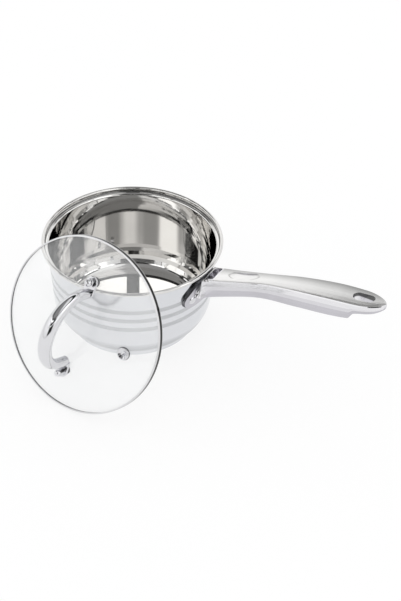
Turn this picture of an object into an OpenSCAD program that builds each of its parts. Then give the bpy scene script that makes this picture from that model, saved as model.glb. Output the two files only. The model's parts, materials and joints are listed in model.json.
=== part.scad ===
// A small polished stainless steel saucepan with a long riveted handle.
// Its domed glass lid is taken off and stands on its edge in front of the pan.
// The origin is the centre of the pan's underside, +Z is up and the handle runs along +X.

/* [Pan] */
// Height from the table to the top of the rolled rim
pan_h = 96; // [80:1:140]
// Inside diameter at the mouth, below the lid's ledge
mouth_d = 161.6; // [140:0.2:200]
// Thickness of the steel sheet
wall_t = 1; // [0.8:0.1:1.4]
// Lean of the side wall from upright, in degrees
wall_taper = 3.9; // [2:0.1:6]
// Large outside radius where the wall turns in
corner_r = 33.7; // [28:0.1:36]
// Small outside radius where the corner meets the floor
heel_r = 9.6; // [7:0.1:14]
// Angle below level at which the two corner radii meet
corner_split = 40; // [35:1:50]

/* [Rim] */
// Radial width of the ledge that the lid sits on
ledge_w = 3.6; // [3:0.1:5]
// Depth of the ledge below the top of the rim
ledge_depth = 4.8; // [4:0.1:8]
// Radius of the shoulder between the wall and the ledge
shoulder_r = 2.2; // [2:0.1:2.6]
// Inside radius where the ledge turns up
ledge_fillet_r = 0.8; // [0.5:0.1:1.2]
// Outside radius of the rolled bead
bead_r = 1.8; // [1.5:0.1:2.4]

/* [Base] */
// Diameter of the sandwiched base
base_d = 126.4; // [110:0.2:132]
// Height of the sandwiched base
base_h = 8.2; // [5:0.1:10]
// Thickness of the steel cup under the base
cup_t = 0.8; // [0.6:0.1:1.2]
// Radius of the cup's lower edge
cup_edge_r = 1.6; // [1.2:0.1:2.4]

/* [Handle] */
// Distance from the pan's axis to the handle's tip
handle_reach = 267; // [250:1:290]
// Height of the handle's top face where the grip starts
handle_root_z = 89.4; // [86:0.1:90]
// Rise of the handle's top face from root to tip
handle_rise = 43; // [30:1:50]
// Width of the handle at its root, beside the rim
root_w = 26; // [24:0.5:28]
// Width of the handle at its waist
waist_w = 20; // [18:0.5:24]
// Width of the handle at its palm swell
palm_w = 27.4; // [24:0.2:32]
// Depth of the side walls below the top face
skirt_depth = 17.6; // [14:0.2:20]
// Thickness of the handle's side walls and top
handle_t = 2.6; // [2:0.1:3.5]
// Thickness of the solid tongue round the hanging hole
tongue_t = 9.6; // [8:0.1:13]
// Length of the hanging hole
hang_hole_l = 21; // [16:0.5:26]
// Width of the hanging hole
hang_hole_w = 10.8; // [8:0.2:13]
// Distance from the tip to the middle of the hanging hole
hang_hole_back = 21.5; // [18:0.5:26]
// Length of the thumb rest
thumb_l = 32; // [24:0.5:40]
// Width of the thumb rest
thumb_w = 11; // [8:0.5:13]
// Depth of the thumb rest
thumb_depth = 1.5; // [0.8:0.1:1.6]
// Distance from the pan's axis to the middle of the thumb rest
thumb_x = 124; // [120:1:130]
// Length of the open pocket in the handle's top, beside the rim
pocket_l = 8; // [6:0.5:10]
// Depth of that pocket
pocket_depth = 6.5; // [4:0.1:7]

/* [Handle flange] */
// Thickness of the flange's wings
wing_t = 3; // [2.5:0.1:4]
// Radius of each wing's round end, about its rivet
wing_end_r = 9.2; // [8:0.1:11]
// Height of the rivets above the table
rivet_z = 67.5; // [60:0.5:70]
// Angle of each rivet from the handle's direction, seen from above
rivet_angle = 14; // [13:0.5:18]
// Diameter of the rivet shank
rivet_d = 5; // [4:0.1:6]
// Diameter of the rivet's outer head
rivet_head_d = 8.6; // [7.5:0.1:10]
// Height of the rivet's outer head
rivet_head_h = 2.2; // [1.6:0.1:3]
// Gap between the flange and the pan's wall
flange_gap = 0.1; // [0.05:0.05:0.3]

/* [Lid] */
// Radial clearance of the lid inside the pan's rim
lid_clearance = 1; // [0.5:0.1:1.5]
// Height of the dome's inside above the edge of the glass
dome_h = 10; // [8:0.5:18]
// Thickness of the glass
glass_t = 3.2; // [3:0.1:4.5]
// Thickness of the steel band round the glass
band_t = 0.5; // [0.4:0.1:0.8]
// Radial width of the band's flanges
band_w = 1.5; // [1.2:0.1:4]
// Distance from the lid's centre to the steam vent
vent_x = 52; // [48:0.5:60]
// Diameter of the vent's flange
vent_d = 11.8; // [10:0.2:14]
// Diameter of the hole through the vent
vent_hole_d = 4.6; // [3:0.1:5]

/* [Lid handle] */
// Distance between the middles of the arch's legs
arch_span = 71; // [66:1:74]
// Height of the arch's centre line above the edge of the glass
arch_h = 58; // [52:1:70]
// Thickness of the rod at the top of the arch
rod_d = 13.2; // [11:0.2:14]
// Thickness of the rod at its feet
foot_d = 9.8; // [9:0.2:10.6]
// Distance between the two lid bolts
bolt_span = 92; // [90:1:98]
// Thickness of the handle's lugs
lug_t = 2.6; // [2.2:0.1:3.4]
// Width of the handle's lugs
lug_w = 11.4; // [10.8:0.2:13]
// Diameter of the lid bolts
bolt_d = 4; // [3.5:0.1:4.4]
// Width across the flats of the cap nuts
nut_af = 7.6; // [7:0.1:8.4]
// Height of the cap nuts' hexagon
nut_hex_h = 3.6; // [3:0.1:5]
// Diameter of the washers and gaskets
washer_d = 9.6; // [9:0.2:10.4]
// Thickness of the washers
washer_t = 0.8; // [0.6:0.1:1.2]
// Thickness of the gaskets
gasket_t = 1.2; // [1:0.1:1.6]

/* [Place of the lid] */
// Distance of the lid's edge circle from the pan's axis, along the handle
lid_x = 22.6; // [10:0.1:30]
// Distance of the lid's edge circle in front of the pan's axis
lid_y = -114.1; // [-130:0.1:-112]
// Lean of the lid back from upright, in degrees
lid_lean = 23.1; // [15:0.1:26]
// Turn of the lid's face to the left, in degrees
lid_turn = 2.8; // [0:0.1:10]
// Turn of the lid in its own plane, in degrees
lid_spin = 5.7; // [0:0.1:12]

/* [Hidden] */
$fn = 96;
mouth_r = mouth_d / 2;
base_r = base_d / 2;
seat_r = mouth_r + ledge_w;
ledge_z = pan_h - ledge_depth;
bend_step = 9; // degrees between the points of a bend
eps = 0.01;

// Points on an arc about c, from angle a0 to a1
function arc(c, r, a0, a1) =
    let (n = max(2, ceil(abs(a1 - a0) / bend_step)))
    [for (i = [0:n]) let (a = a0 + (a1 - a0) * i / n) c + r * [cos(a), sin(a)]];

function reverse(list) = [for (i = [len(list) - 1:-1:0]) list[i]];

// A smooth curve through the rows of a table: column k as a function of column 0
function row_slope(tab, i, k) =
    let (a = max(0, i - 1), b = min(len(tab) - 1, i + 1))
    (tab[b][k] - tab[a][k]) / (tab[b][0] - tab[a][0]);
function curve(tab, x, k) =
    let (below = [for (i = [0:len(tab) - 2]) if (tab[i][0] <= x) i],
         i = len(below) > 0 ? max(below) : 0,
         w = tab[i + 1][0] - tab[i][0],
         t = (x - tab[i][0]) / w)
    tab[i][k] * (1 + 2 * t) * pow(1 - t, 2) + tab[i + 1][k] * t * t * (3 - 2 * t)
    + w * row_slope(tab, i, k) * t * pow(1 - t, 2) - w * row_slope(tab, i + 1, k) * t * t * (1 - t);

// A closed solid through rings of equal length, with flat ends
module loft(rings) {
    n = len(rings[0]);
    last = len(rings) - 1;
    points = [for (ring = rings) each ring];
    sides = [for (j = [0:last - 1]) for (i = [0:n - 1])
        let (a = j * n + i, b = j * n + (i + 1) % n) each [[a, b, b + n], [a, b + n, a + n]]];
    start = [for (i = [n - 1:-1:0]) i];
    end = [for (i = [0:n - 1]) last * n + i];
    polyhedron(points, concat(sides, [start, end]));
}

// Pan

// The bends of the sheet from the floor to the rolled edge, each as
// [centre, radius to the middle of the sheet, first angle, last angle, +1 where the centre is on the food side]
heel_z = base_h + heel_r;
corner_z = heel_z + (corner_r - heel_r) * sin(corner_split);
wall_top_z = ledge_z - shoulder_r;
// Outside radius of the tapered wall at a height
function wall_r(z) = mouth_r + wall_t / cos(wall_taper) + (z - wall_top_z) * tan(wall_taper);
corner_x = wall_r(corner_z) - corner_r / cos(wall_taper);
heel_x = corner_x + (corner_r - heel_r) * cos(corner_split);
function pan_bends() = [
    [[heel_x, heel_z], heel_r - wall_t / 2, -90, -corner_split, 1],
    [[corner_x, corner_z], corner_r - wall_t / 2, -corner_split, -wall_taper, 1],
    [[mouth_r + shoulder_r / cos(wall_taper), wall_top_z], shoulder_r - wall_t / 2, 180 - wall_taper, 90, -1],
    [[seat_r - ledge_fillet_r, ledge_z + ledge_fillet_r], ledge_fillet_r + wall_t / 2, -90, 0, 1],
    [[seat_r + bead_r, pan_h - bead_r], bead_r - wall_t / 2, 180, -90, -1],
];
// One face of the sheet, d to the outside of its middle
function pan_face(d) = [for (b = pan_bends()) each arc(b[0], b[1] + b[4] * d, b[2], b[3])];

module pan_body() {
    color("gainsboro")
    difference() {
        rotate_extrude()
        polygon(concat(
            [[0, base_h]],
            pan_face(wall_t / 2),
            reverse(pan_face(-wall_t / 2)),
            [[0, base_h + wall_t]]
        ));
        for (side = [-1, 1]) at_rivet(side) cylinder(d = rivet_d, h = 4 * wall_t, center = true);
    }
}

// The aluminium disc that spreads the heat, pressed between the pan's floor and the cup
module base_core() {
    color("lightgray")
    translate([0, 0, cup_t])
    cylinder(r = base_r - cup_t, h = base_h - cup_t);
}

// The steel cup that closes the base, with a rounded lower edge
module base_cup() {
    color("silver")
    difference() {
        rotate_extrude()
        polygon(concat(
            [[0, 0]],
            arc([base_r - cup_edge_r, cup_edge_r], cup_edge_r, -90, 0),
            [[base_r, base_h], [0, base_h]]
        ));
        translate([0, 0, cup_t]) cylinder(r = base_r - cup_t, h = base_h);
    }
}

// Long handle: one hollow casting with a flange that is riveted to the wall

rim_r = seat_r + 2 * bead_r;
handle_root_x = rim_r - 1;
handle_len = handle_reach - handle_root_x;
hang_hole_x = handle_reach - hang_hole_back;
tongue_l = 30;
nose_l = 24;
skirt_end_x = handle_reach - tongue_l;
tip_round_x = handle_reach - nose_l;
edge_r = 2.6;
crown = 0.9; // rise of the top's middle over its edges
side_bow = 0.5; // swell of the sides at half their height

// Rows of the handle's form: place along it, height of the top, width
handle_form = [
    [handle_root_x, handle_root_z, root_w],
    [handle_root_x + 0.14 * handle_len, handle_root_z + 0.19 * handle_rise, (root_w + waist_w) / 2 - 0.4],
    [handle_root_x + 0.35 * handle_len, handle_root_z + 0.48 * handle_rise, waist_w],
    [handle_root_x + 0.52 * handle_len, handle_root_z + 0.67 * handle_rise, (waist_w + palm_w) / 2 + 0.6],
    [handle_root_x + 0.72 * handle_len, handle_root_z + 0.84 * handle_rise, palm_w],
    [handle_root_x + 0.87 * handle_len, handle_root_z + 0.93 * handle_rise, palm_w - 1.4],
    [handle_reach, handle_root_z + handle_rise, palm_w - 6],
];
function handle_top(x) = curve(handle_form, x, 1);
function handle_half(x) =
    curve(handle_form, x, 2) / 2
    * (x > tip_round_x ? sqrt(max(0, 1 - pow((x - tip_round_x) / nose_l, 2))) : 1);

// Rows of place along the handle and depth of its sides, which end in a short slope before the tongue
slope_l = 5;
depth_form = [
    [handle_root_x, skirt_depth + 2.6],
    [handle_root_x + 0.28 * handle_len, skirt_depth - 1.2],
    [handle_root_x + 0.55 * handle_len, skirt_depth + 0.6],
    [skirt_end_x, skirt_depth - 0.8],
    [skirt_end_x + slope_l, tongue_t + 0.8],
    [handle_reach - 8, tongue_t - 1.4],
    [handle_reach, tongue_t - 4],
];
function handle_depth(x) = curve(depth_form, x, 1);

// The neck joins the handle to the flange under the rim, and its sides flare out towards the wall
neck_start_x = mouth_r - 2;
neck_z = handle_root_z - 5.4;
root_flare = 9;
flare_l = 18;
function flare(x) = root_flare * pow(max(0, 1 - (x - neck_start_x) / flare_l), 2);

// One upright section of the handle: flared feet, rounded edges and a crowned top
function handle_ring(x) =
    let (at = max(x, handle_root_x),
         h = max(0.8, handle_half(at)),
         r = min(edge_r, h - 0.2),
         top = handle_top(at),
         low = top - handle_depth(at),
         rise = crown * (h - r) / (palm_w / 2),
         side = [for (t = [0:0.25:0.75])
             [h + flare(x) * pow(1 - t, 2) + 4 * side_bow * t * (1 - t), low + t * (top - r - low)]])
    [for (p = concat(
        side,
        [for (a = [0:22.5:90]) [h - r + r * cos(a), top - r + r * sin(a)]],
        [for (t = [0.6:-0.4:-0.6]) [t * (h - r), top + rise * (1 - t * t)]],
        [for (a = [90:22.5:180]) [-h + r + r * cos(a), top - r + r * sin(a)]],
        [for (p = reverse(side)) [-p[0], p[1]]]
    )) [x, -p[0], p[1]]];

// Places of the sections: evenly spaced over the neck, the grip and the slope, and closer towards the tip
neck_steps = 4;
grip_steps = 25;
slope_steps = 4;
nose_steps = 10;
handle_rings = concat(
    [for (i = [0:neck_steps - 1]) handle_ring(neck_start_x + (handle_root_x - neck_start_x) * i / neck_steps)],
    [for (i = [0:grip_steps - 1]) handle_ring(handle_root_x + (skirt_end_x - handle_root_x) * i / grip_steps)],
    [for (i = [0:slope_steps]) handle_ring(skirt_end_x + slope_l * i / slope_steps)],
    [for (i = [0:nose_steps]) handle_ring(tip_round_x + nose_l * sin(90 * i / nose_steps))]
);

// A flat slot shape with round ends, centred, as a prism
module slot(length, width, height) {
    for (side = [-1, 1])
        translate([side * (length - width) / 2, 0, 0]) cylinder(d = width, h = height, center = true);
    cube([length - width, width, height], center = true);
}

function handle_slope(x) = atan((handle_top(x + 1) - handle_top(x - 1)) / 2);

module on_handle(x) {
    translate([x, 0, handle_top(x)]) rotate([0, -handle_slope(x), 0]) children();
}

// Blends from 0 to 1 over a length that ends at x1
function ease(x, x1, length) =
    let (t = min(1, max(0, (x - x1) / length + 1)))
    t * t * (3 - 2 * t);

// Thickness of the metal over the hollow: thick under the pocket, thin along the grip,
// and growing into the tongue before the hanging hole
pocket_wall = 1.8; // between the pocket and the rim
pocket_x = handle_root_x + pocket_wall;
thin_roof_x = pocket_x + pocket_l + 9;
thick_roof_x = hang_hole_x - hang_hole_l / 2 - 3;
function handle_roof(x) =
    handle_t
    + pocket_depth * (1 - ease(x, thin_roof_x, 7))
    + (tongue_t - handle_t) * ease(x, thick_roof_x, 14);

// The hollow under the handle, between its side walls and open below
cavity_start_x = handle_root_x + 1.2;
cavity_end_x = skirt_end_x + 2;
cavity_steps = 24;
module handle_cavity() {
    below = skirt_depth + 8;
    xs = [for (i = [0:cavity_steps]) cavity_start_x + (cavity_end_x - cavity_start_x) * i / cavity_steps];
    intersection() {
        rotate([90, 0, 0])
        linear_extrude(height = palm_w, center = true)
        polygon(concat(
            [for (x = xs) [x, handle_top(x) - handle_roof(x)]],
            [for (x = reverse(xs)) [x, handle_top(x) - below]]
        ));
        linear_extrude(height = 2 * (handle_root_z + handle_rise))
        polygon(concat(
            [for (x = xs) [x, handle_half(x) - handle_t]],
            [for (x = reverse(xs)) [x, handle_t - handle_half(x)]]
        ));
    }
}

// The open pocket in the top, between the rim and the grip, with round corners
module pocket() {
    corner = 2.4;
    half = handle_half(pocket_x + pocket_l) - handle_t - corner;
    height = 3 * pocket_depth;
    translate([0, 0, -pocket_depth]) {
        for (side = [-1, 1])
            for (x = [corner, pocket_l - corner])
                translate([x, side * half, 0]) cylinder(r = corner, h = height);
        translate([0, -half, 0]) cube([pocket_l, 2 * half, height]);
        translate([corner, -half - corner, 0]) cube([pocket_l - 2 * corner, 2 * (half + corner), height]);
    }
}

// Puts its child on the pan's wall at a rivet, with +Z pointing out of the wall
module at_rivet(side) {
    rotate([0, 0, side * rivet_angle])
    translate([wall_r(rivet_z), 0, rivet_z])
    rotate([0, 90 + wall_taper, 0])
    children();
}

// The flange: a plate that follows the wall, with a round end about each rivet.
// It starts inside the wall, and is cut back to the wall with the rest of the handle.
module flange() {
    low = rivet_z - wing_end_r;
    wing_angle = rivet_angle + asin(wing_end_r / wall_r(rivet_z)) + 1;
    inner = -1;
    intersection() {
        rotate([0, 0, -wing_angle])
        rotate_extrude(angle = 2 * wing_angle)
        polygon([for (p = [[inner, low], [wing_t, low], [wing_t, neck_z], [inner, neck_z]])
            [wall_r(p[1]) + flange_gap + p[0], p[1]]]);
        rotate([90, 0, 90])
        linear_extrude(height = 2 * mouth_r)
        flange_outline();
    }
}

// The flange seen along the handle: round ends, and edges that lean in towards the neck
module flange_outline() {
    rivet_y = (wall_r(rivet_z) + wing_t) * sin(rivet_angle);
    edge_lean = 42;
    top_y = root_w / 2 + 2;
    top_z = neck_z - 0.6;
    polygon(concat(
        arc([rivet_y, rivet_z], wing_end_r, -90, edge_lean),
        [[top_y, top_z], [-top_y, top_z]],
        arc([-rivet_y, rivet_z], wing_end_r, 180 - edge_lean, 270)
    ));
}

// Everything inside the pan's outer wall, with the flange's gap
module inside_wall() {
    rotate_extrude()
    polygon([[0, 0], [wall_r(0) + flange_gap, 0], [wall_r(pan_h) + flange_gap, pan_h], [0, pan_h]]);
}

// Room under the rim and above the neck
module rim_room() {
    translate([0, 0, neck_z]) cylinder(r = handle_root_x, h = pan_h);
}

// The shallow rest for the thumb, hollowed by a large cylinder that lies across the handle
module thumb_rest() {
    round_r = (pow(thumb_l / 2, 2) + pow(thumb_depth, 2)) / (2 * thumb_depth);
    intersection() {
        slot(thumb_l, thumb_w, 8 * thumb_depth);
        translate([0, 0, round_r - thumb_depth + crown / 2])
        rotate([90, 0, 0])
        cylinder(r = round_r, h = thumb_w, center = true, $fn = 192);
    }
}

module handle() {
    head_room = 0.6;
    color("silver")
    difference() {
        union() {
            loft(handle_rings);
            flange();
        }
        inside_wall();
        rim_room();
        handle_cavity();
        on_handle(pocket_x) pocket();
        on_handle(hang_hole_x) slot(hang_hole_l, hang_hole_w, 4 * tongue_t);
        on_handle(thumb_x) thumb_rest();
        for (side = [-1, 1]) at_rivet(side) {
            cylinder(d = rivet_d, h = 4 * wing_t, center = true);
            translate([0, 0, flange_gap + wing_t]) cylinder(d = rivet_head_d + head_room, h = rivet_head_d);
        }
    }
}

// A solid rivet: domed head outside the flange, shank, and a low head inside the pan
module rivet(side) {
    shoulder = flange_gap + wing_t;
    inner_head_d = 10;
    inner_head_h = 1.8;
    inner_gap = wall_t + pow(inner_head_d / 2, 2) / (2 * (wall_r(rivet_z) - wall_t));
    color("whitesmoke")
    at_rivet(side) {
        translate([0, 0, -inner_gap]) cylinder(d = rivet_d, h = inner_gap + shoulder);
        translate([0, 0, shoulder]) dome(rivet_head_d, rivet_head_h);
        translate([0, 0, -inner_gap]) mirror([0, 0, 1]) dome(inner_head_d, inner_head_h);
    }
}

// A flat-based dome of a given diameter and height, cut from a ball
module dome(diameter, height) {
    ball_r = (pow(diameter / 2, 2) + pow(height, 2)) / (2 * height);
    intersection() {
        translate([0, 0, height - ball_r]) sphere(r = ball_r);
        cylinder(d = diameter, h = height);
    }
}

// Lid, in its own frame: its edge circle lies at z = 0 and its dome rises along +Z

lid_r = seat_r - lid_clearance;
glass_r = lid_r - band_t;
inner_ball_r = (pow(glass_r, 2) + pow(dome_h, 2)) / (2 * dome_h);
outer_ball_r = inner_ball_r + glass_t;
ball_z = dome_h - inner_ball_r;
band_low = ball_z + sqrt(pow(inner_ball_r - band_t, 2) - pow(lid_r, 2));

// Stands the lid on its edge, in front of the pan
module standing() {
    translate([lid_x, lid_y, lid_r * cos(lid_lean) - band_low * sin(lid_lean)])
    rotate([0, 0, -lid_turn])
    rotate([90 - lid_lean, 0, 0])
    rotate([0, 0, -lid_spin])
    children();
}

// Puts its child on the outside of the glass, square to it, at a place on the lid
module on_glass(x, y) {
    translate([0, 0, ball_z])
    rotate([0, 0, atan2(y, x)])
    rotate([0, asin(norm([x, y]) / outer_ball_r), 0])
    translate([0, 0, outer_ball_r])
    children();
}

module at_bolt(side) {
    on_glass(0, side * bolt_span / 2) children();
}

module ball_shell(r_out, r_in, edge_r) {
    intersection() {
        translate([0, 0, ball_z])
        difference() {
            sphere(r = r_out, $fn = 192);
            sphere(r = r_in, $fn = 192);
        }
        translate([0, 0, -2 * dome_h]) cylinder(r = edge_r, h = 5 * dome_h, $fn = 192);
    }
}

glass_hole_d = bolt_d + 2.4;
vent_barrel_d = vent_hole_d + 2;

module lid_glass() {
    color("lightcyan", 0.4)
    standing()
    difference() {
        ball_shell(outer_ball_r, inner_ball_r, glass_r);
        for (side = [-1, 1]) at_bolt(side) cylinder(d = glass_hole_d, h = 4 * glass_t, center = true);
        on_glass(vent_x, 0) cylinder(d = vent_barrel_d, h = 4 * glass_t, center = true);
    }
}

module lid_band() {
    color("gainsboro")
    standing()
    difference() {
        ball_shell(outer_ball_r + band_t, inner_ball_r - band_t, lid_r);
        ball_shell(outer_ball_r, inner_ball_r, glass_r);
        translate([0, 0, -2 * dome_h]) cylinder(r = lid_r - band_w, h = 5 * dome_h, $fn = 192);
    }
}

// The steam vent: a turned flange outside, a barrel through the glass and a lip rolled over inside
module vent_eyelet() {
    flange_r = vent_d / 2;
    barrel_r = vent_barrel_d / 2;
    hole_r = vent_hole_d / 2;
    flange_h = 1.7;
    lip_r = 1.1;
    lip_z = -glass_t - lip_r - 0.05;
    color("gainsboro")
    standing()
    on_glass(vent_x, 0)
    rotate_extrude()
    polygon(concat(
        [[hole_r, lip_z - lip_r], [barrel_r, lip_z - lip_r]],
        arc([barrel_r, lip_z], lip_r, -80, 80),
        [[barrel_r, -glass_t], [barrel_r, gasket_t / 2]],
        [[flange_r, gasket_t / 2]],
        arc([flange_r - 0.8, gasket_t / 2 + flange_h - 0.8], 0.8, 0, 90),
        [[hole_r + 2.2, gasket_t / 2 + flange_h], [hole_r, gasket_t / 2 + 0.4]]
    ));
}

module vent_gasket() {
    color("dimgray")
    standing()
    on_glass(vent_x, 0)
    difference() {
        cylinder(d = vent_d + 0.6, h = gasket_t / 2);
        cylinder(d = vent_barrel_d, h = gasket_t, center = true);
    }
}

// Lid handle: a thick rod bent to an arch, with a flat lug at each foot

arch_r = arch_span / 2;
arch_z = arch_h - arch_r;
foot_lift = 0.9; // between the underside of a lug and the end of the leg
foot_chamfer = 0.6;
leg_low = ball_z + sqrt(pow(outer_ball_r, 2) - pow(arch_r, 2)) + gasket_t + foot_lift;

// Thickness of the rod at an angle round the arch, level at 0 and 180
function rod_r(a) = foot_d / 2 + (rod_d - foot_d) / 2 * pow(max(0, sin(a)), 1.5);
// A ring round the rod, at a point of the arch's plane and an angle from level
rod_sides = 20;
function rod_ring(p, a, r) = [for (i = [0:rod_sides - 1])
    let (b = 360 * i / rod_sides) [r * sin(b), p[0] + r * cos(b) * cos(a), p[1] + r * cos(b) * sin(a)]];
rod_rings = concat(
    [rod_ring([arch_r, leg_low], 0, foot_d / 2 - foot_chamfer)],
    [rod_ring([arch_r, leg_low + foot_chamfer], 0, foot_d / 2)],
    [for (a = [0:7.5:180]) rod_ring([arch_r * cos(a), arch_z + arch_r * sin(a)], a, rod_r(a))],
    [rod_ring([-arch_r, leg_low + foot_chamfer], 180, foot_d / 2)],
    [rod_ring([-arch_r, leg_low], 180, foot_d / 2 - foot_chamfer)]
);

// Half of a lug runs back from the bolt to the foot of the rod, square to the bolt
module lug(side) {
    reach = (bolt_span / 2 - arch_r) / cos(asin(bolt_span / 2 / outer_ball_r)) + 1;
    at_bolt(side)
    translate([0, 0, gasket_t])
    {
        cylinder(d = lug_w, h = lug_t);
        translate([-reach, -lug_w / 2, 0]) cube([reach, lug_w, lug_t]);
    }
}

module lid_handle() {
    color("silver")
    standing()
    difference() {
        union() {
            loft(rod_rings);
            lug(1);
            lug(-1);
        }
        for (side = [-1, 1]) at_bolt(side) {
            cylinder(d = bolt_d + 0.2, h = 10 * lug_t);
            translate([0, 0, gasket_t + lug_t]) cylinder(d = washer_d + 0.6, h = 12);
        }
    }
}

// Lid fasteners: from the outside in, a cap nut, a washer, the lug, a gasket with a sleeve in the glass,
// and on the inside a flat gasket under the bolt's head

head_h = 2;
head_d = 8;
head_slot = [4.6, 0.8, 1.2];
// How far the inside of the glass curves down over the width of a gasket
dish = pow(washer_d / 2, 2) / (2 * inner_ball_r) + 0.02;
bolt_top = gasket_t + lug_t + washer_t + nut_hex_h;

module bolt(side) {
    color("gainsboro")
    standing()
    at_bolt(side) {
        translate([0, 0, -glass_t - gasket_t]) cylinder(d = bolt_d, h = glass_t + gasket_t + bolt_top);
        translate([0, 0, -glass_t - gasket_t])
        mirror([0, 0, 1])
        difference() {
            dome(head_d, head_h);
            for (a = [0, 90]) rotate([0, 0, a])
                translate([0, 0, head_h]) cube([head_slot[0], head_slot[1], 2 * head_slot[2]], center = true);
        }
    }
}

module cap_nut(side) {
    cap_d = nut_af - 0.9;
    color("whitesmoke")
    standing()
    at_bolt(side)
    translate([0, 0, gasket_t + lug_t + washer_t])
    difference() {
        union() {
            // The hexagon, with its upper corners taken off by a cone
            intersection() {
                cylinder(d = nut_af / cos(30), h = nut_hex_h, $fn = 6);
                cylinder(r1 = nut_af / 2 + nut_hex_h, r2 = nut_af / 2, h = nut_hex_h);
            }
            translate([0, 0, nut_hex_h]) {
                cylinder(d = cap_d, h = 1);
                translate([0, 0, 1]) intersection() {
                    sphere(d = cap_d);
                    cylinder(d = 2 * cap_d, h = cap_d);
                }
            }
        }
        translate([0, 0, -eps]) cylinder(d = bolt_d, h = nut_hex_h + eps);
    }
}

module washer(side) {
    color("silver")
    standing()
    at_bolt(side)
    translate([0, 0, gasket_t + lug_t])
    difference() {
        cylinder(d = washer_d, h = washer_t);
        translate([0, 0, -eps]) cylinder(d = bolt_d + 0.3, h = washer_t + 2 * eps);
    }
}

module outer_gasket(side) {
    sleeve_d = glass_hole_d - 0.2;
    color("dimgray")
    standing()
    at_bolt(side)
    difference() {
        union() {
            cylinder(d = washer_d, h = gasket_t);
            translate([0, 0, 0.4 - glass_t]) cylinder(d = sleeve_d, h = glass_t);
        }
        cylinder(d = bolt_d + 0.2, h = 4 * glass_t, center = true);
    }
}

module inner_gasket(side) {
    color("dimgray")
    standing()
    at_bolt(side)
    translate([0, 0, -glass_t - gasket_t])
    difference() {
        cylinder(d = washer_d, h = gasket_t - dish);
        cylinder(d = bolt_d + 0.2, h = 3 * gasket_t, center = true);
    }
}

pan_body();
base_core();
base_cup();
handle();
rivet(-1);  // rivet_near
rivet(1);  // rivet_far
lid_glass();
lid_band();
vent_eyelet();
vent_gasket();
lid_handle();
bolt(1);  // bolt_upper
bolt(-1);  // bolt_lower
cap_nut(1);  // cap_nut_upper
cap_nut(-1);  // cap_nut_lower
washer(1);  // washer_upper
washer(-1);  // washer_lower
outer_gasket(1);  // outer_gasket_upper
outer_gasket(-1);  // outer_gasket_lower
inner_gasket(1);  // inner_gasket_upper
inner_gasket(-1);  // inner_gasket_lower
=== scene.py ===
"""Looks for the saucepan and its glass lid: steel, glass, smoother lid handle, table, studio and camera."""

import json
import math

import bmesh
import bpy
from mathutils import Matrix, Vector

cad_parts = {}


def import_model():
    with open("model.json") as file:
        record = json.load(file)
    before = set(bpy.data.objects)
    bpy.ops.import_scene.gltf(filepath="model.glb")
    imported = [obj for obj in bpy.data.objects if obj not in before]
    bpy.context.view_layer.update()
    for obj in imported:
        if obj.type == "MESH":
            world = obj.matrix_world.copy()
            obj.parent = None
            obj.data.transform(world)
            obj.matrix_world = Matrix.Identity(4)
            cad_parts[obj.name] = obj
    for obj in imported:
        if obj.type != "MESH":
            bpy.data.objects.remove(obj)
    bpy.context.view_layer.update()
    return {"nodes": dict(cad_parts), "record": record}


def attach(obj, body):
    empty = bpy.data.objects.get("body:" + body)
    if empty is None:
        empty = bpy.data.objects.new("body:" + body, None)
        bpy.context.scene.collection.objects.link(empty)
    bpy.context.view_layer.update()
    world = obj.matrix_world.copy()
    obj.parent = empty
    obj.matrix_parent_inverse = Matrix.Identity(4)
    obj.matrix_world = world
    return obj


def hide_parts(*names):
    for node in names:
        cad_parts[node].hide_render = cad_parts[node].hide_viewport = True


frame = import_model()
nodes = frame["nodes"]

# Camera, fitted to the photo's ellipses
CAMERA_PLACE = Vector((0.6134, -0.9271, 0.9256))
CAMERA_LOOK = Vector((-0.3874, 0.6710, -0.6322))
CAMERA_ROLL = math.radians(1.92)
CAMERA_REACH = 50
LENS = 85.66
SENSOR = 36

# The pan and its base: heights above the table, and one radius from the pan's axis
STRIPE_HEIGHTS = (0.0675, 0.0568, 0.0457)
STRIPE_WIDTH = 0.0049
GAP_SHADE_START = 0.0081
LOW_SHADE_HEIGHTS = (0.012, 0.026)
LEDGE_HEIGHT = 0.089
CREASE_HEIGHTS = (0.0905, 0.0925)
CREASE_R = 0.0843
CREASE_WIDTH = 0.0006

# The handle: where its satin starts and where its painted reflection turns grey, the thumb rest, the
# flange's edge and the hanging hole
SATIN_START = 0.0975
TIP_REFLECTION_X = (0.13, 0.25)
EDGE_REFLECTION_Y = (-0.002, 0.011)
THUMB_X = 0.124
THUMB_L = 0.032
THUMB_W = 0.011
FLANGE_R = (0.0862, 0.088)
HOLE_X = (0.2345, 0.2565)
HOLE_Y = (-0.0058, 0.0058)
HOLE_SHADE_Z = 0.1255

# Softness of the borders between finishes
STEP_SOFT = 0.0005
BAND_SOFT = 0.0003
LINE_SOFT = 0.0002

# The lid's own frame: its edge circle lies at z = 0, its dome rises along +Z and its handle lies along Y
LID_PLACE = Vector((0.0226, -0.1141, 0.07697))
LID_LEAN = math.radians(23.1)
LID_TURN = math.radians(2.8)
LID_SPIN = math.radians(5.7)

# The glass is a shell between two balls with one centre
GLASS_R = 0.0829
GLASS_T = 0.0032
DOME_H = 0.01
INNER_BALL_R = (GLASS_R ** 2 + DOME_H ** 2) / (2 * DOME_H)
OUTER_BALL_R = INNER_BALL_R + GLASS_T
BALL_Z = DOME_H - INNER_BALL_R

# The lid's handle: arch, rod, feet and lugs, as in the part's source
BOLT_Y = 0.046
BOLT_HOLE_D = 0.0042
GASKET_T = 0.0012
LUG_T = 0.0026
LUG_W = 0.0114
LUG_ROUND = 0.0003
LUG_INTO_ROD = 0.001
ARCH_R = 0.0355
ARCH_H = 0.058
ROD_D = 0.0132
FOOT_D = 0.0098
FOOT_LIFT = 0.0009
FOOT_CHAMFER = 0.0006
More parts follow.
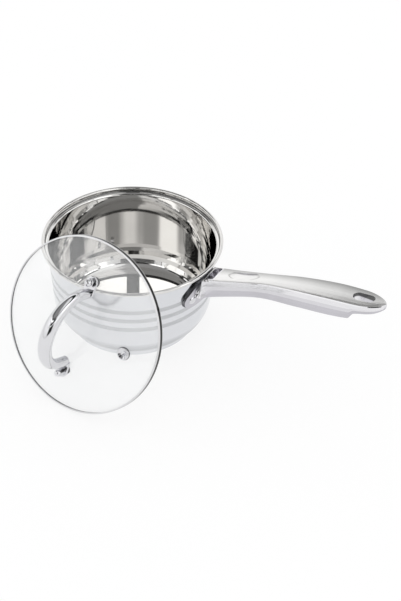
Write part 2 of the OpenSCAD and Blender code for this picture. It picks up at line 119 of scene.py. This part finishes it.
# How finely it is drawn; the rod's rings are a little smaller, as they bulge past the part's facets
ROD_SIDES = 72
ROD_STEPS = 96
ROD_SHARE = 0.998
FOOT_STEPS = 4
LUG_STEP = 6
SHARP_ANGLE = math.radians(40)

# The table
FLOOR_HALF = 6
FLOOR_Z = -0.0002
FLOOR_GLOW = 1.035
FLOOR_GLOW_SHARE = 0.8

# The studio that metal mirrors. Its directions are counted across, away and up as seen from this azimuth.
STUDIO_AZIMUTH = math.radians(30)
WORLD_LEVEL = 0.95
# Brightness by the height of a direction, from 0 for level to 1 for straight up
STUDIO_HEIGHTS = [
    (0.0, 0.8), (0.15, 0.95), (0.4, 1.1), (0.52, 0.85), (0.57, 0.62), (0.6, 0.64),
    (0.615, 1.1), (0.655, 1.1), (0.675, 0.03), (0.8, 0.03), (0.84, 0.9), (1.0, 0.9),
]
# Softboxes and dark flags, each over the ones before it. Each has its limits across, away and up, every pair
# of limits with its soft edge, and then its brightness.
STUDIO_FLAGS = [
    # Two strips of light, which whiten the pan's floor and the foot of its wall
    ((-1, 1, 0.05), (-1, -0.1, 0.08), (0.69, 0.74, 0.012), 1.75),
    ((-0.25, 1, 0.05), (-1, -0.2, 0.08), (0.44, 0.515, 0.015), 1.8),
    # Softboxes to the right and the left, for the bright sides of the pan's wall
    ((0.62, 1, 0.15), (-0.4, 0.15, 0.2), (0.5, 0.65, 0.03), 1.7),
    ((-1, -0.6, 0.15), (-0.5, 0.05, 0.2), (0.5, 0.65, 0.03), 1.25),
    # The wall's grey, light and grey bands between them
    ((-0.8, -0.55, 0.15), (0.3, 0.55, 0.15), (0.5, 0.65, 0.03), 0.45),
    ((-0.25, -0.05, 0.3), (0.6, 1, 0.1), (0.565, 0.615, 0.015), 1.2),
    ((0.45, 0.65, 0.2), (0.4, 0.7, 0.2), (0.565, 0.615, 0.015), 0.5),
    # The dark arches at both ends of the wall
    ((-0.42, 0.3, 0.04), (-1, -0.55, 0.05), (0.54, 0.64, 0.015), 0.02),
    # A post in two parts, which gives the dark stem on the pan's floor
    ((-0.08, -0.01, 0.015), (-1, -0.1, 0.05), (0.45, 0.66, 0.03), 0.02),
    ((-0.08, 0.15, 0.015), (-1, -0.1, 0.05), (0.66, 0.9, 0.03), 0.02),
    # A dark place low in front, and a dim ceiling to the left for the streak on the lid's handle
    ((-0.3, 0.3, 0.05), (-1, -0.1, 0.05), (0.1, 0.45, 0.05), 0.03),
    ((-1, 0.1, 0.08), (-0.6, 1, 0.1), (0.83, 1.1, 0.02), 0.3),
]


def material(name, metallic=False):
    """A new material with its node tree and its shader."""
    made = bpy.data.materials.new(name)
    made.use_nodes = True
    shader = made.node_tree.nodes["Principled BSDF"]
    if metallic:
        shader.inputs["Metallic"].default_value = 1
    return made, made.node_tree, shader


def paint(tree, shader, colour, roughness):
    """Links a colour and a roughness to a shader."""
    tree.links.new(colour, shader.inputs["Base Color"])
    tree.links.new(roughness, shader.inputs["Roughness"])


def noise(tree, scale, stretch=(1, 1, 1)):
    """Noise in the object's own metres, drawn out along each axis whose stretch is below 1."""
    place = tree.nodes.new("ShaderNodeTexCoord")
    mapping = tree.nodes.new("ShaderNodeMapping")
    mapping.inputs["Scale"].default_value = stretch
    texture = tree.nodes.new("ShaderNodeTexNoise")
    texture.inputs["Scale"].default_value = scale
    texture.inputs["Detail"].default_value = 4
    texture.inputs["Roughness"].default_value = 0.55
    tree.links.new(place.outputs["Object"], mapping.inputs["Vector"])
    tree.links.new(mapping.outputs["Vector"], texture.inputs["Vector"])
    return texture.outputs["Fac"]


def spread(tree, value, low, high, start=0.3, end=0.7):
    """Maps a value between start and end to low and high."""
    node = tree.nodes.new("ShaderNodeMapRange")
    node.inputs["From Min"].default_value = start
    node.inputs["From Max"].default_value = end
    node.inputs["To Min"].default_value = low
    node.inputs["To Max"].default_value = high
    tree.links.new(value, node.inputs["Value"])
    return node.outputs["Result"]


def eased(tree, value, start, end):
    """0 at start and 1 at end, with an eased slope between them."""
    node = tree.nodes.new("ShaderNodeMapRange")
    node.interpolation_type = "SMOOTHSTEP"
    node.inputs["From Min"].default_value = start
    node.inputs["From Max"].default_value = end
    tree.links.new(value, node.inputs["Value"])
    return node.outputs["Result"]


def tint(tree, value, dark, light):
    """A colour between dark and light."""
    ramp = tree.nodes.new("ShaderNodeValToRGB")
    first, second = ramp.color_ramp.elements
    first.color = (*dark, 1)
    second.color = (*light, 1)
    first.position = 0.3
    second.position = 0.7
    tree.links.new(value, ramp.inputs["Fac"])
    return ramp.outputs["Color"]


def bump(tree, shader, height, distance, strength, normal=None):
    """Fine relief on a shader, over the mesh's own normal or a given one."""
    node = tree.nodes.new("ShaderNodeBump")
    node.inputs["Distance"].default_value = distance
    node.inputs["Strength"].default_value = strength
    if normal is not None:
        tree.links.new(normal, node.inputs["Normal"])
    tree.links.new(height, node.inputs["Height"])
    tree.links.new(node.outputs["Normal"], shader.inputs["Normal"])


def math_node(tree, operation, first, second=0.0):
    """One step of arithmetic on sockets or numbers."""
    node = tree.nodes.new("ShaderNodeMath")
    node.operation = operation
    for slot, value in enumerate((first, second)):
        if isinstance(value, (int, float)):
            node.inputs[slot].default_value = value
        else:
            tree.links.new(value, node.inputs[slot])
    return node.outputs["Value"]


def times(tree, *factors):
    """The product of sockets."""
    product = factors[0]
    for factor in factors[1:]:
        product = math_node(tree, "MULTIPLY", product, factor)
    return product


def sum_of_products(tree, first, second):
    """The product of the first pair plus the product of the second."""
    return math_node(tree, "ADD", times(tree, *first), times(tree, *second))


def vector_node(tree, operation, first, second=None):
    """One step of arithmetic on a vector socket, with a second socket or a fixed vector."""
    node = tree.nodes.new("ShaderNodeVectorMath")
    node.operation = operation
    tree.links.new(first, node.inputs[0])
    if isinstance(second, Vector):
        node.inputs[1].default_value = second
    elif second is not None:
        tree.links.new(second, node.inputs[1])
    return node


def step(tree, value, edge, before=0, after=1, soft=STEP_SOFT):
    """Goes from before to after where a value passes an edge."""
    return spread(tree, value, before, after, edge - soft, edge + soft)


def between(tree, value, low, high, soft=BAND_SOFT):
    """1 between low and high, with soft edges."""
    return times(tree, step(tree, value, low, 0, 1, soft), step(tree, value, high, 1, 0, soft))


def band_about(tree, value, middle, width, soft=BAND_SOFT):
    """1 in a band of a given width, with soft edges."""
    return between(tree, value, middle - width / 2, middle + width / 2, soft)


def blend_colours(tree, share, first, second):
    """Goes from the first colour to the second, each a socket or a plain colour."""
    mix = tree.nodes.new("ShaderNodeMix")
    mix.data_type = "RGBA"
    tree.links.new(share, mix.inputs["Factor"])
    for slot, value in ((6, first), (7, second)):
        if isinstance(value, tuple):
            mix.inputs[slot].default_value = (*value, 1)
        else:
            tree.links.new(value, mix.inputs[slot])
    return mix.outputs[2]


def blend_values(tree, share, first, second):
    """Goes from the first number to the second, each a socket or a plain number."""
    mix = tree.nodes.new("ShaderNodeMix")
    tree.links.new(share, mix.inputs["Factor"])
    for slot, value in ((2, first), (3, second)):
        if isinstance(value, (int, float)):
            mix.inputs[slot].default_value = value
        else:
            tree.links.new(value, mix.inputs[slot])
    return mix.outputs[0]


def blend_normals(tree, share, first, second):
    """Goes from the first normal to the second."""
    mix = tree.nodes.new("ShaderNodeMix")
    mix.data_type = "VECTOR"
    tree.links.new(share, mix.inputs["Factor"])
    tree.links.new(first, mix.inputs[4])
    tree.links.new(second, mix.inputs[5])
    return mix.outputs[1]


def blend_shaders(tree, share, first, second):
    """Goes from the first shader to the second."""
    mix = tree.nodes.new("ShaderNodeMixShader")
    tree.links.new(share, mix.inputs["Fac"])
    tree.links.new(first, mix.inputs[1])
    tree.links.new(second, mix.inputs[2])
    return mix.outputs["Shader"]


def split(tree, vector):
    """The x, y and z of a vector socket."""
    parts = tree.nodes.new("ShaderNodeSeparateXYZ")
    tree.links.new(vector, parts.inputs["Vector"])
    return parts.outputs["X"], parts.outputs["Y"], parts.outputs["Z"]


def position(tree):
    """The point's own x, y and z in metres."""
    return split(tree, tree.nodes.new("ShaderNodeTexCoord").outputs["Object"])


def surface_normal(tree, kind="Normal"):
    """The x, y and z of the smoothed normal, or of the face's own with True Normal."""
    return split(tree, tree.nodes.new("ShaderNodeNewGeometry").outputs[kind])


def axis_distance(tree, x, y):
    """The distance from the pan's axis."""
    return math_node(tree, "SQRT", sum_of_products(tree, (x, x), (y, y)))


def away_from_axis(tree, x, y, normal):
    """How far a normal points away from the pan's axis, from -1 to 1."""
    outward = sum_of_products(tree, (normal[0], x), (normal[1], y))
    return math_node(tree, "DIVIDE", outward, axis_distance(tree, x, y))


def seen_by(tree, *kinds):
    """1 for the named kinds of ray, such as camera and glossy, and 0 for the rest."""
    path = tree.nodes.new("ShaderNodeLightPath")
    share = path.outputs[kinds[0]]
    for kind in kinds[1:]:
        share = math_node(tree, "MAXIMUM", share, path.outputs[kind])
    return share


def lid_frame():
    """The place and turn of the lid, which stands on its edge."""
    turn = Matrix.Rotation(-LID_TURN, 4, "Z") @ Matrix.Rotation(math.pi / 2 - LID_LEAN, 4, "X")
    return Matrix.Translation(LID_PLACE) @ turn @ Matrix.Rotation(-LID_SPIN, 4, "Z")


def from_ball_centre(tree):
    """The vector from the centre of the glass's balls."""
    place = tree.nodes.new("ShaderNodeTexCoord")
    centre = lid_frame() @ Vector((0, 0, BALL_Z))
    return vector_node(tree, "SUBTRACT", place.outputs["Object"], centre).outputs["Vector"]


def polished_steel():
    """Mirror-polished stainless steel with faint polishing haze and ripple."""
    made, tree, shader = material("polished_steel", metallic=True)
    lines = noise(tree, 900, (1, 1, 0.15))
    colour = tint(tree, noise(tree, 18), (0.7, 0.7, 0.72), (0.77, 0.77, 0.79))
    paint(tree, shader, colour, spread(tree, lines, 0.04, 0.09))
    bump(tree, shader, lines, 0.00001, 0.15)
    return made


def band_steel():
    """The lid's rolled band, brushed a little greyer than the polished pieces."""
    made, tree, shader = material("band_steel", metallic=True)
    lines = noise(tree, 1200)
    bright = tint(tree, noise(tree, 40), (0.72, 0.72, 0.73), (0.78, 0.78, 0.79))
    # Its inner faces, seen through the edge of the glass, are dark in the photo
    reach = vector_node(tree, "LENGTH", from_ball_centre(tree)).outputs["Value"]
    inner = between(tree, reach, INNER_BALL_R - 0.0001, OUTER_BALL_R + 0.0001, 0.00005)
    colour = blend_colours(tree, inner, bright, (0.04, 0.04, 0.04))
    paint(tree, shader, colour, spread(tree, lines, 0.08, 0.16))
    bump(tree, shader, lines, 0.00001, 0.15)
    return made


def cup_steel():
    """The base's cup: polished like the pan, with painted shade along its upper edge for the gap under the
    pan's heel.
    """
    made, tree, shader = material("cup_steel", metallic=True)
    lines = noise(tree, 700, (0.08, 0.08, 1))
    # Painted shade: above this height the cup is dark, for the shaded gap under the pan's heel
    gap_shade = step(tree, position(tree)[2], GAP_SHADE_START, soft=LINE_SOFT)
    bright = tint(tree, noise(tree, 14), (0.72, 0.735, 0.76), (0.76, 0.765, 0.79))
    colour = blend_colours(tree, gap_shade, bright, (0.03, 0.03, 0.03))
    paint(tree, shader, colour, blend_values(tree, gap_shade, spread(tree, lines, 0.08, 0.14), 0.5))
    bump(tree, shader, lines, 0.000012, 0.2)
    return made


def satin_stripes(tree, z):
    """1 in the pan's satin stripes."""
    stripes = 0.0
    for height in STRIPE_HEIGHTS:
        stripes = math_node(tree, "ADD", stripes, band_about(tree, z, height, STRIPE_WIDTH))
    return stripes


def pan_outside(tree, x, y, z):
    """1 on the outside below the lid's ledge, which faces away from the axis, or down where it curves in."""
    normal = surface_normal(tree)
    away = math_node(tree, "SUBTRACT", away_from_axis(tree, x, y, normal), normal[2])
    return times(tree, spread(tree, away, 0, 1, -0.05, 0.05), step(tree, z, LEDGE_HEIGHT, 1, 0))


def pan_steel():
    """The pan's sheet: polished outside with three satin stripes, and a warmer mirror inside."""
    made, tree, shader = material("pan_steel", metallic=True)
    x, y, z = position(tree)
    cloud = noise(tree, 14)
    lines = noise(tree, 700, (0.08, 0.08, 1))
    outside = pan_outside(tree, x, y, z)
    # Painted reflection of shade: the lower curve darkens towards the base, as it mirrors the shaded table
    wall = tint(tree, cloud, (0.72, 0.735, 0.76), (0.76, 0.765, 0.79))
    wall = blend_colours(tree, spread(tree, z, 1, 0, *LOW_SHADE_HEIGHTS), wall, (0.3, 0.31, 0.33))
    warm = tint(tree, cloud, (0.75, 0.742, 0.728), (0.8, 0.792, 0.778))
    colour = blend_colours(tree, outside, warm, wall)
    # Painted shade: a thin dark line in the crease between the lid's ledge and the rolled edge
    crease_shade = band_about(tree, axis_distance(tree, x, y), CREASE_R, CREASE_WIDTH, LINE_SOFT)
    crease_shade = times(tree, crease_shade, between(tree, z, *CREASE_HEIGHTS))
    colour = blend_colours(tree, crease_shade, colour, (0.12, 0.12, 0.12))
    stripes = times(tree, satin_stripes(tree, z), outside)
    satin = tint(tree, lines, (0.54, 0.55, 0.565), (0.62, 0.63, 0.645))
    polish = blend_values(tree, outside, spread(tree, lines, 0.02, 0.05), spread(tree, lines, 0.08, 0.14))
    colour = blend_colours(tree, stripes, colour, satin)
    paint(tree, shader, colour, blend_values(tree, stripes, polish, 0.38))
    bump(tree, shader, lines, 0.000012, 0.2)
    return made


def handle_top(tree, x, y, cloud):
    """Satin with painted reflections: greyer along the far edge and to the tip, a painted highlight in the
    thumb rest and painted shade round it.
    """
    # Painted reflection: the satin greys towards the tip and the far edge, for the darker surroundings it
    # mirrors
    tip_reflection = spread(tree, x, 0, 0.25, *TIP_REFLECTION_X)
    edge_reflection = spread(tree, y, 0, 0.75, *EDGE_REFLECTION_Y)
    bright = tint(tree, cloud, (0.93, 0.925, 0.915), (0.97, 0.965, 0.955))
    reflected_grey = tint(tree, cloud, (0.24, 0.24, 0.237), (0.29, 0.29, 0.287))
    satin = blend_colours(tree, math_node(tree, "ADD", tip_reflection, edge_reflection), bright, reflected_grey)
    # The thumb rest is an oval, 1 on its rim, with a painted highlight inside and a painted shade line round
    # it
    along = math_node(tree, "DIVIDE", math_node(tree, "SUBTRACT", x, THUMB_X), THUMB_L / 2)
    across = math_node(tree, "DIVIDE", y, THUMB_W / 2)
    oval = sum_of_products(tree, (along, along), (across, across))
    satin = blend_colours(tree, spread(tree, oval, 1, 0, 0.7, 0.85), satin, (0.95, 0.945, 0.935))
    return blend_colours(tree, between(tree, oval, 0.86, 1.08, 0.08), satin, (0.62, 0.615, 0.605))


def handle_sides(tree, x, y, face, cloud):
    """Polish with painted shade: duller on the lower half, and dark on the flange's edges and in the gap
    under the rim.
    """
    # Painted shade: the sides are painted duller where they face down
    lit_upper = spread(tree, surface_normal(tree)[2], 0, 1, -0.04, 0.1)
    shaded_lower = tint(tree, cloud, (0.56, 0.55, 0.585), (0.6, 0.59, 0.63))
    bright = tint(tree, cloud, (0.82, 0.815, 0.835), (0.86, 0.855, 0.875))
    sides = blend_colours(tree, lit_upper, shaded_lower, bright)
    # Painted shade: faces near the pan's wall that don't face away from it are dark, for the gap under the
    # rim
    turned = spread(tree, away_from_axis(tree, x, y, face), 1, 0, 0.3, 0.6)
    near_wall = spread(tree, axis_distance(tree, x, y), 1, 0, *FLANGE_R)
    return blend_colours(tree, times(tree, turned, near_wall), sides, (0.08, 0.08, 0.085))


def hole_wall_shade(tree, x, y, z, upward):
    """1 on the upper part of the hanging hole's wall, where shade in the hole is painted dark."""
    upright = math_node(tree, "SUBTRACT", 1.0, upward)
    place = times(tree, between(tree, x, *HOLE_X), between(tree, y, *HOLE_Y))
    return times(tree, place, upright, step(tree, z, HOLE_SHADE_Z))


def satin_steel():
    """The handle's casting: satin on its top, brushed along X, and polished everywhere else."""
    made, tree, shader = material("satin_steel", metallic=True)
    x, y, z = position(tree)
    face = surface_normal(tree, "True Normal")
    cloud = noise(tree, 30)
    lines = noise(tree, 1400, (0.03, 1, 1))
    upward = spread(tree, face[2], 0, 1, 0.6, 0.8)
    top = times(tree, upward, step(tree, x, SATIN_START))
    colour = blend_colours(tree, top, handle_sides(tree, x, y, face, cloud), handle_top(tree, x, y, cloud))
    # Painted shade on the upper wall of the hanging hole
    colour = blend_colours(tree, hole_wall_shade(tree, x, y, z, upward), colour, (0.12, 0.12, 0.12))
    rough = blend_values(tree, top, spread(tree, lines, 0.08, 0.14), spread(tree, lines, 0.27, 0.33))
    paint(tree, shader, colour, rough)
    bump(tree, shader, lines, 0.000005, 0.1)
    return made


def dome_normal(tree):
    """The normal of the glass from its balls, because the mesh's own is uneven in the middle."""
    geometry = tree.nodes.new("ShaderNodeNewGeometry")
    outward = vector_node(tree, "NORMALIZE", from_ball_centre(tree)).outputs["Vector"]
    facing = vector_node(tree, "DOT_PRODUCT", outward, geometry.outputs["True Normal"]).outputs["Value"]
    ball_normal = vector_node(tree, "SCALE", outward)
    tree.links.new(math_node(tree, "SIGN", facing), ball_normal.inputs["Scale"])
    on_ball = math_node(tree, "GREATER_THAN", math_node(tree, "ABSOLUTE", facing), 0.98)
    return blend_normals(tree, on_ball, geometry.outputs["Normal"], ball_normal.outputs["Vector"])


def clear_glass():
    """Clear tempered glass that lets light through to its shadow."""
    made, tree, shader = material("glass")
    shader.inputs["Base Color"].default_value = (0.995, 0.998, 1, 1)
    shader.inputs["Roughness"].default_value = 0
    shader.inputs["IOR"].default_value = 1.5
    shader.inputs["Transmission Weight"].default_value = 0.9
    bump(tree, shader, noise(tree, 25), 0.00002, 0.1, dome_normal(tree))
    clear = tree.nodes.new("ShaderNodeBsdfTransparent")
    clear.inputs["Color"].default_value = (0.93, 0.95, 0.96, 1)
    in_shadow = seen_by(tree, "Is Shadow Ray")
    both = blend_shaders(tree, in_shadow, shader.outputs["BSDF"], clear.outputs["BSDF"])
    tree.links.new(both, tree.nodes["Material Output"].inputs["Surface"])
    return made


def gasket_rubber():
    """Black silicone rubber with a fine grain."""
    made, tree, shader = material("gasket")
    colour = tint(tree, noise(tree, 400), (0.02, 0.02, 0.022), (0.045, 0.045, 0.05))
    paint(tree, shader, colour, spread(tree, noise(tree, 900), 0.5, 0.7))
    bump(tree, shader, noise(tree, 2500), 0.00005, 0.3)
    return made


def core_aluminium():
    """The base's aluminium core, rolled and left dull."""
    made, tree, shader = material("core", metallic=True)
    colour = tint(tree, noise(tree, 60), (0.7, 0.7, 0.71), (0.8, 0.8, 0.81))
    paint(tree, shader, colour, spread(tree, noise(tree, 500), 0.3, 0.45))
    return made


def dress_nodes(steel):
    """Gives each CAD node its own steel, or else the material of its slot in the record."""
    by_node = {
        "pan_body": pan_steel(),
        "base_cup": cup_steel(),
        "lid_band": band_steel(),
    }
    by_slot = {
        "polished_steel": steel,
        "satin_steel": satin_steel(),
        "glass": clear_glass(),
        "gasket": gasket_rubber(),
        "core": core_aluminium(),
    }
    for part in frame["record"]["subparts"]:
        mesh = nodes[part["node"]].data
        mesh.materials.clear()
        mesh.materials.append(by_node.get(part["node"], by_slot[part["material_slot"]]))


def add_rings(points, faces, rings, capped=True):
    """Joins rings of equal length with quads; a capped row of rings is closed at both ends."""
    start = len(points)
    count = len(rings[0])
    for ring in rings:
        points.extend(ring)
    for row in range(len(rings) - 1):
        for i in range(count):
            first = start + row * count + i
            second = start + row * count + (i + 1) % count
            faces.append((first, second, second + count, first + count))
    if capped:
        faces.append([start + i for i in reversed(range(count))])
        faces.append([start + (len(rings) - 1) * count + i for i in range(count)])


def rod_ring(y, z, angle, radius):
    """A ring round the lid handle's rod, at a point of the arch's plane."""
    ring = []
    for i in range(ROD_SIDES):
        turn = 2 * math.pi * i / ROD_SIDES
        out = radius * math.cos(turn)
        ring.append(Vector((radius * math.sin(turn), y + out * math.cos(angle), z + out * math.sin(angle))))
    return ring


def foot_rings(y, angle):
    """The rounded end of the rod, from its underside up."""
    low = BALL_Z + math.sqrt(OUTER_BALL_R ** 2 - ARCH_R ** 2) + GASKET_T + FOOT_LIFT
    rings = []
    for i in range(FOOT_STEPS + 1):
        turn = math.pi / 2 * i / FOOT_STEPS
        radius = FOOT_D / 2 - FOOT_CHAMFER * (1 - math.sin(turn))
        rings.append(rod_ring(y, low + FOOT_CHAMFER * (1 - math.cos(turn)), angle, radius))
    return rings


def rod_rings():
    """The rod from foot to foot: thickest at the top of the arch, with rounded ends."""
    rings = foot_rings(ARCH_R, 0)
    for i in range(ROD_STEPS + 1):
        angle = math.pi * i / ROD_STEPS
        radius = FOOT_D / 2 + (ROD_D - FOOT_D) / 2 * max(0, math.sin(angle)) ** 1.5
        y = ARCH_R * math.cos(angle)
        z = ARCH_H - ARCH_R + ARCH_R * math.sin(angle)
        rings.append(rod_ring(y, z, angle, ROD_SHARE * radius))
    return rings + foot_rings(-ARCH_R, math.pi)[::-1]


def lug_rings(side):
    """One lug: a flat plate with a round end about the bolt, small rounded edges and the bolt's hole."""
    lean = math.asin(BOLT_Y / OUTER_BALL_R)
    aim = Matrix.Rotation(side * math.pi / 2, 4, "Z") @ Matrix.Rotation(lean, 4, "Y")
    place = Matrix.Translation((0, 0, BALL_Z)) @ aim @ Matrix.Translation((0, 0, OUTER_BALL_R + GASKET_T))
    reach = (BOLT_Y - ARCH_R) / math.cos(lean) + LUG_INTO_ROD

    def outline(inset):
        half = LUG_W / 2 - inset
        turns = [math.radians(a) for a in range(-90, 91, LUG_STEP)]
        return [(half * math.cos(a), half * math.sin(a)) for a in turns] + [(-reach, half), (-reach, -half)]

    def ring(inset, z):
        return [place @ Vector((x, y, z)) for x, y in outline(inset)]

    def hole(z):
        turns = [math.atan2(y, x) for x, y in outline(0)]
        radius = BOLT_HOLE_D / 2
        return [place @ Vector((radius * math.cos(turn), radius * math.sin(turn), z)) for turn in turns]

    under = [hole(0), ring(LUG_ROUND, 0), ring(0, LUG_ROUND)]
    over = [ring(0, LUG_T - LUG_ROUND), ring(LUG_ROUND, LUG_T), hole(LUG_T)]
    return under + over + [hole(0)]


def lid_handle(steel):
    """The lid's handle in the CAD node's form, drawn finer so that its mirror finish runs smoothly."""
    points = []
    faces = []
    add_rings(points, faces, rod_rings())
    for side in (1, -1):
        add_rings(points, faces, lug_rings(side), capped=False)
    place = lid_frame()
    mesh = bpy.data.meshes.new("lid_handle_smooth")
    mesh.from_pydata([place @ point for point in points], [], faces)
    shaped = bmesh.new()
    shaped.from_mesh(mesh)
    bmesh.ops.recalc_face_normals(shaped, faces=shaped.faces)
    shaped.to_mesh(mesh)
    shaped.free()
    mesh.shade_smooth()
    mesh.set_sharp_from_angle(angle=SHARP_ANGLE)
    mesh.materials.append(steel)
    piece = bpy.data.objects.new("lid_handle_smooth", mesh)
    bpy.context.scene.collection.objects.link(piece)
    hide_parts("lid_handle")
    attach(piece, "lid")


def floor():
    """White table that keeps the object's soft shadow and looks white in metal and through glass too."""
    mesh = bpy.data.meshes.new("floor")
    half = FLOOR_HALF
    corners = [(-half, -half, 0), (half, -half, 0), (half, half, 0), (-half, half, 0)]
    mesh.from_pydata(corners, [], [(0, 1, 2, 3)])
    ground = bpy.data.objects.new("floor", mesh)
    bpy.context.scene.collection.objects.link(ground)
    ground.location.z = FLOOR_Z
    made, tree, shader = material("floor")
    colour = tint(tree, noise(tree, 3), (0.9, 0.9, 0.905), (0.92, 0.92, 0.92))
    tree.links.new(colour, shader.inputs["Base Color"])
    shader.inputs["Roughness"].default_value = 0.8
    shader.inputs["Specular IOR Level"].default_value = 0
    glow = tree.nodes.new("ShaderNodeEmission")
    glow.inputs["Color"].default_value = (1, 1, 1, 1)
    glow.inputs["Strength"].default_value = FLOOR_GLOW
    watched = seen_by(tree, "Is Camera Ray", "Is Glossy Ray", "Is Transmission Ray")
    share = math_node(tree, "MULTIPLY", watched, FLOOR_GLOW_SHARE)
    both = blend_shaders(tree, share, shader.outputs["BSDF"], glow.outputs["Emission"])
    tree.links.new(both, tree.nodes["Material Output"].inputs["Surface"])
    mesh.materials.append(made)


def height_level(tree, up):
    """The studio's brightness by height alone."""
    node = tree.nodes.new("ShaderNodeValToRGB")
    ramp = node.color_ramp
    ramp.interpolation = "EASE"
    for height, level in STUDIO_HEIGHTS:
        ramp.elements.new(height).color = (level, level, level, 1)
    ramp.elements.remove(ramp.elements[0])
    ramp.elements.remove(ramp.elements[-1])
    tree.links.new(up, node.inputs["Fac"])
    return node.outputs["Color"]


def inside(tree, value, low, high, soft):
    """1 between low and high, eased to 0 outside them."""
    return times(tree, eased(tree, value, low - soft, low), eased(tree, value, high + soft, high))


def studio_level(tree):
    """The studio's brightness in each direction: by height, with the softboxes and flags over it."""
    place = tree.nodes.new("ShaderNodeTexCoord")
    turn = tree.nodes.new("ShaderNodeMapping")
    turn.inputs["Rotation"].default_value = (0, 0, -STUDIO_AZIMUTH)
    tree.links.new(place.outputs["Generated"], turn.inputs["Vector"])
    axes = split(tree, turn.outputs["Vector"])
    level = height_level(tree, axes[2])
    for *limits, brightness in STUDIO_FLAGS:
        cover = times(tree, *[inside(tree, axis, *limit) for axis, limit in zip(axes, limits)])
        level = blend_colours(tree, cover, level, (brightness, brightness, brightness))
    return level


def backdrop(tree, strength):
    """Even white light of a given strength from all sides."""
    node = tree.nodes.new("ShaderNodeBackground")
    node.inputs["Color"].default_value = (1, 1, 1, 1)
    node.inputs["Strength"].default_value = strength
    return node.outputs["Background"]


def world():
    """White for the camera and through glass, even light for dull surfaces, and the studio after metal."""
    made = bpy.data.worlds.new("studio")
    bpy.context.scene.world = made
    made.use_nodes = True
    tree = made.node_tree
    studio = tree.nodes["Background"]
    tree.links.new(studio_level(tree), studio.inputs["Color"])
    # Light that has met metal sees the studio, also where it went on through the lid's glass
    path = tree.nodes.new("ShaderNodeLightPath")
    after_metal = math_node(tree, "GREATER_THAN", path.outputs["Glossy Depth"], 0.5)
    before_metal = math_node(tree, "SUBTRACT", 1.0, after_metal)
    lit = blend_shaders(tree, after_metal, backdrop(tree, WORLD_LEVEL), studio.outputs["Background"])
    direct = times(tree, seen_by(tree, "Is Camera Ray", "Is Transmission Ray"), before_metal)
    white = blend_shaders(tree, direct, lit, backdrop(tree, 1))
    tree.links.new(white, tree.nodes["World Output"].inputs["Surface"])


def camera():
    """The photo's view, which fits the frame by its height."""
    data = bpy.data.cameras.new("camera")
    data.sensor_fit = "VERTICAL"
    data.sensor_height = SENSOR
    data.lens = LENS
    data.clip_end = CAMERA_REACH
    made = bpy.data.objects.new("camera", data)
    bpy.context.scene.collection.objects.link(made)
    turn = CAMERA_LOOK.to_track_quat("-Z", "Y") @ Matrix.Rotation(CAMERA_ROLL, 3, "Z").to_quaternion()
    made.matrix_world = Matrix.LocRotScale(CAMERA_PLACE, turn, None)
    bpy.context.scene.camera = made


steel = polished_steel()
dress_nodes(steel)
lid_handle(steel)
floor()
world()
camera()
bpy.context.scene.view_settings.view_transform = "Standard"

bpy.context.view_layer.update()
